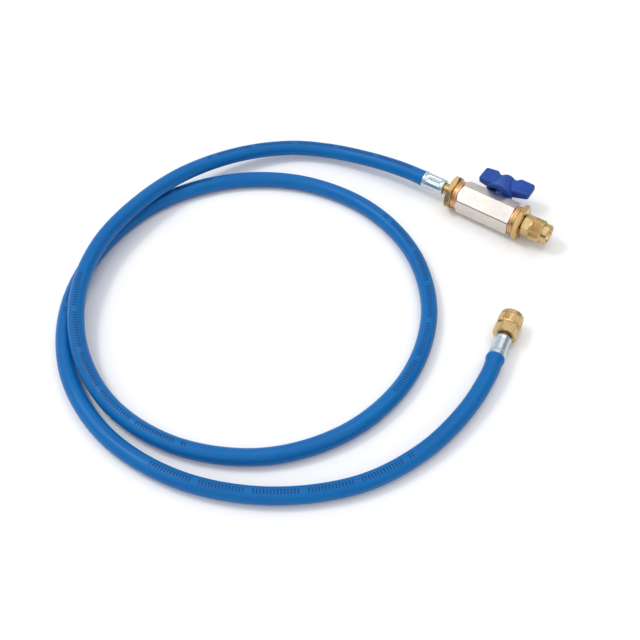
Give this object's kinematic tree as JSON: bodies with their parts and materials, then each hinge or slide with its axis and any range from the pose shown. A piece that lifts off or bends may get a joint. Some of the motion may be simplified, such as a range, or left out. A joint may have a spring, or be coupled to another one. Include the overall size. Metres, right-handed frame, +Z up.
{
  "type": "refrigerant charging hose with ball valve",
  "caption": "Flexible blue charging hose with crimped ends, a knurled swivel nut on each end and an inline quarter-turn ball valve with a butterfly handle.",
  "frame": {"origin": "on the floor, under the middle of the box round the ball valve and its fittings", "axes": "+X along the valve's axis from the hose towards its free swivel nut, +Z up from the floor it lies on, the coil lies towards -X and -Y"},
  "size_m": [0.2897, 0.3355, 0.0257],
  "materials": {
    "hose_rubber": "satin",
    "brass": "turned",
    "copper": "satin",
    "nickel": "satin nickel plate",
    "zinc": "bright zinc plate",
    "steel": "polished",
    "handle_plastic": "moulded",
    "seat_plastic": "matte",
    "gasket_rubber": "matte"
  },
  "bodies": {
    "base": {"inlet_ferrule": "zinc", "inlet_adapter": "brass", "inlet_washer": "copper", "valve_body": "nickel", "inlet_seat": "seat_plastic", "outlet_seat": "seat_plastic", "gland_nut": "nickel", "outlet_washer": "copper", "outlet_adapter": "brass", "outlet_gasket": "gasket_rubber", "hose": "hose_rubber", "end_ferrule": "zinc", "end_tail": "brass", "end_gasket": "gasket_rubber"},
    "lever": {"handle": "handle_plastic", "handle_screw": "steel", "stem": "steel", "ball": "steel"},
    "valve_nut": {"outlet_nut": "brass"},
    "far_nut": {"end_nut": "brass"}
  },
  "joints": [
    {"name": "handle_turn", "type": "hinge", "parent": "base", "child": "lever", "pos_m": [0.00282, -0.01046, 0.01283], "axis": [0, 0.9903, 0.1392], "range_deg": [-85, 5]},
    {"name": "valve_nut_spin", "type": "hinge", "parent": "base", "child": "valve_nut", "pos_m": [0.041, -0.01046, 0.01283], "axis": [1, 0, 0], "continuous": true},
    {"name": "far_nut_spin", "type": "hinge", "parent": "base", "child": "far_nut", "pos_m": [0.06328, -0.09484, 0.00815], "axis": [-0.1871, 0.9823, 0], "continuous": true}
  ]
}
